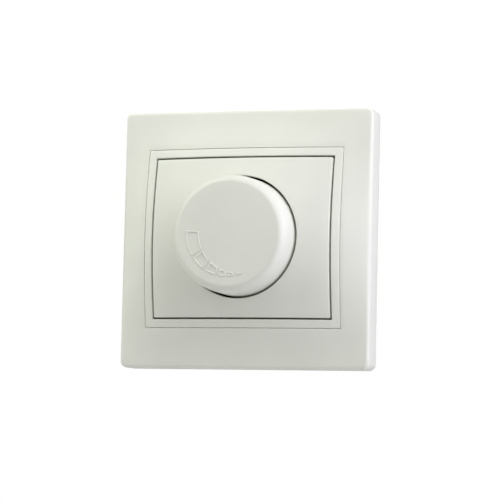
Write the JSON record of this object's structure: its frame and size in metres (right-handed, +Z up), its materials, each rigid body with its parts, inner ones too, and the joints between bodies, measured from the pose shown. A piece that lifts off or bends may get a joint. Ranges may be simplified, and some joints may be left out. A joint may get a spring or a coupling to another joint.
{
  "type": "rotary dimmer switch",
  "caption": "Flush-mounted rotary dimmer: square pillow-shaped wall plate with a trim ring, a round turning knob, and a strap-mounted mechanism behind it.",
  "frame": {"origin": "centre of the plate on the wall surface", "axes": "+X right and +Z up as seen from the room, +Y into the wall, so the knob faces -Y"},
  "size_m": [0.081, 0.0505, 0.081],
  "materials": {
    "ivory_plastic": "satin moulded, warm ivory white",
    "knob_plastic": "satin moulded, warm ivory white",
    "dark_plastic": "fine texture, anthracite",
    "zinc_steel": "bright zinc plated",
    "yellow_zinc": "yellow passivated zinc",
    "spring_steel": "blued spring steel",
    "brass": "bare brass",
    "aluminium": "mill finish",
    "board_laminate": "phenolic paper laminate",
    "epoxy_black": "moulded epoxy",
    "ferrite": "sintered",
    "copper_wire": "enamelled copper",
    "film_yellow": "moulded box",
    "film_red": "dipped",
    "resistor_body": "lacquered",
    "glass": "clear",
    "terminal_grey": "moulded",
    "phenolic": "hard paper"
  },
  "bodies": {
    "wall_unit": {"outer_frame": "ivory_plastic", "insert_trim": "ivory_plastic", "centre_plate": "ivory_plastic", "mounting_strap": "zinc_steel", "housing_cover": "dark_plastic", "housing_base": "dark_plastic", "cover_screw_1": "zinc_steel", "cover_screw_2": "zinc_steel", "cover_screw_3": "zinc_steel", "cover_screw_4": "zinc_steel", "pot_case": "zinc_steel", "pot_bushing": "brass", "pot_washer": "zinc_steel", "pot_nut": "brass", "pot_track": "phenolic", "switch_cup": "phenolic", "switch_contact": "copper_wire", "circuit_board": "board_laminate", "heat_sink": "aluminium", "triac": "epoxy_black", "triac_screw": "zinc_steel", "triac_nut": "zinc_steel", "choke_core": "ferrite", "choke_winding": "copper_wire", "suppression_capacitor": "film_yellow", "timing_capacitor": "film_red", "resistor_gate": "resistor_body", "resistor_limit": "resistor_body", "diac": "film_red", "fuse_glass": "glass", "fuse_cap_lower": "zinc_steel", "fuse_cap_upper": "zinc_steel", "fuse_clip_lower": "brass", "fuse_clip_upper": "brass", "terminal_block": "terminal_grey", "terminal_bar_1": "brass", "terminal_bar_2": "brass", "terminal_bar_3": "brass"},
    "dial": {"dimmer_knob": "knob_plastic", "knob_spring": "spring_steel", "pot_shaft": "zinc_steel", "pot_wiper": "phenolic", "switch_cam": "terminal_grey"},
    "left_claw_nut": {"claw_nut_left": "yellow_zinc"},
    "left_claw_screw": {"claw_screw_left": "yellow_zinc"},
    "left_claw": {"claw_left": "yellow_zinc"},
    "right_claw_nut": {"claw_nut_right": "yellow_zinc"},
    "right_claw_screw": {"claw_screw_right": "yellow_zinc"},
    "right_claw": {"claw_right": "yellow_zinc"},
    "terminal_1_cage": {"terminal_cage_1": "brass"},
    "terminal_1_screw": {"terminal_screw_1": "zinc_steel"},
    "terminal_2_cage": {"terminal_cage_2": "brass"},
    "terminal_2_screw": {"terminal_screw_2": "zinc_steel"},
    "terminal_3_cage": {"terminal_cage_3": "brass"},
    "terminal_3_screw": {"terminal_screw_3": "zinc_steel"}
  },
  "joints": [
    {"name": "dial_turn", "type": "hinge", "parent": "wall_unit", "child": "dial", "pos_m": [0, 0, 0], "axis": [0, 1, 0], "range_deg": [0, 300]},
    {"name": "left_claw_nut_travel", "type": "slide", "parent": "wall_unit", "child": "left_claw_nut", "axis": [0, -1, 0], "range_m": [0, 0.00237]},
    {"name": "left_claw_screw_turn", "type": "hinge", "parent": "wall_unit", "child": "left_claw_screw", "pos_m": [-0.0256, 0, 0], "axis": [0, 1, 0], "range_deg": [0, 1710.1]},
    {"name": "left_claw_swing", "type": "hinge", "parent": "wall_unit", "child": "left_claw", "pos_m": [-0.0226, 0.002, 0], "axis": [0, 0, 1], "range_deg": [0, 25.01]},
    {"name": "right_claw_nut_travel", "type": "slide", "parent": "wall_unit", "child": "right_claw_nut", "axis": [0, -1, 0], "range_m": [0, 0.00237]},
    {"name": "right_claw_screw_turn", "type": "hinge", "parent": "wall_unit", "child": "right_claw_screw", "pos_m": [0.0256, 0, 0], "axis": [0, 1, 0], "range_deg": [0, 1710.1]},
    {"name": "right_claw_swing", "type": "hinge", "parent": "wall_unit", "child": "right_claw", "pos_m": [0.0226, 0.002, 0], "axis": [0, 0, -1], "range_deg": [0, 25.01]},
    {"name": "terminal_1_cage_travel", "type": "slide", "parent": "wall_unit", "child": "terminal_1_cage", "axis": [0, 0, -1], "range_m": [0, 0.0024]},
    {"name": "terminal_1_screw_turn", "type": "hinge", "parent": "wall_unit", "child": "terminal_1_screw", "pos_m": [-0.009, 0.0165, -0.02], "axis": [0, 0, 1], "range_deg": [0, 1728.1]},
    {"name": "terminal_2_cage_travel", "type": "slide", "parent": "wall_unit", "child": "terminal_2_cage", "axis": [0, 0, -1], "range_m": [0, 0.0024]},
    {"name": "terminal_2_screw_turn", "type": "hinge", "parent": "wall_unit", "child": "terminal_2_screw", "pos_m": [0, 0.0165, -0.02], "axis": [0, 0, 1], "range_deg": [0, 1728.1]},
    {"name": "terminal_3_cage_travel", "type": "slide", "parent": "wall_unit", "child": "terminal_3_cage", "axis": [0, 0, -1], "range_m": [0, 0.0024]},
    {"name": "terminal_3_screw_turn", "type": "hinge", "parent": "wall_unit", "child": "terminal_3_screw", "pos_m": [0.009, 0.0165, -0.02], "axis": [0, 0, 1], "range_deg": [0, 1728.1]}
  ],
  "couplings": [
    {"joint": "left_claw_screw_turn", "follows": "left_claw_nut_travel", "rad_per_m": 12566},
    {"joint": "left_claw_swing", "follows": "left_claw_nut_travel", "rad_per_m": 183.72},
    {"joint": "right_claw_screw_turn", "follows": "right_claw_nut_travel", "rad_per_m": 12566},
    {"joint": "right_claw_swing", "follows": "right_claw_nut_travel", "rad_per_m": 183.72},
    {"joint": "terminal_1_screw_turn", "follows": "terminal_1_cage_travel", "rad_per_m": 12566},
    {"joint": "terminal_2_screw_turn", "follows": "terminal_2_cage_travel", "rad_per_m": 12566},
    {"joint": "terminal_3_screw_turn", "follows": "terminal_3_cage_travel", "rad_per_m": 12566}
  ]
}
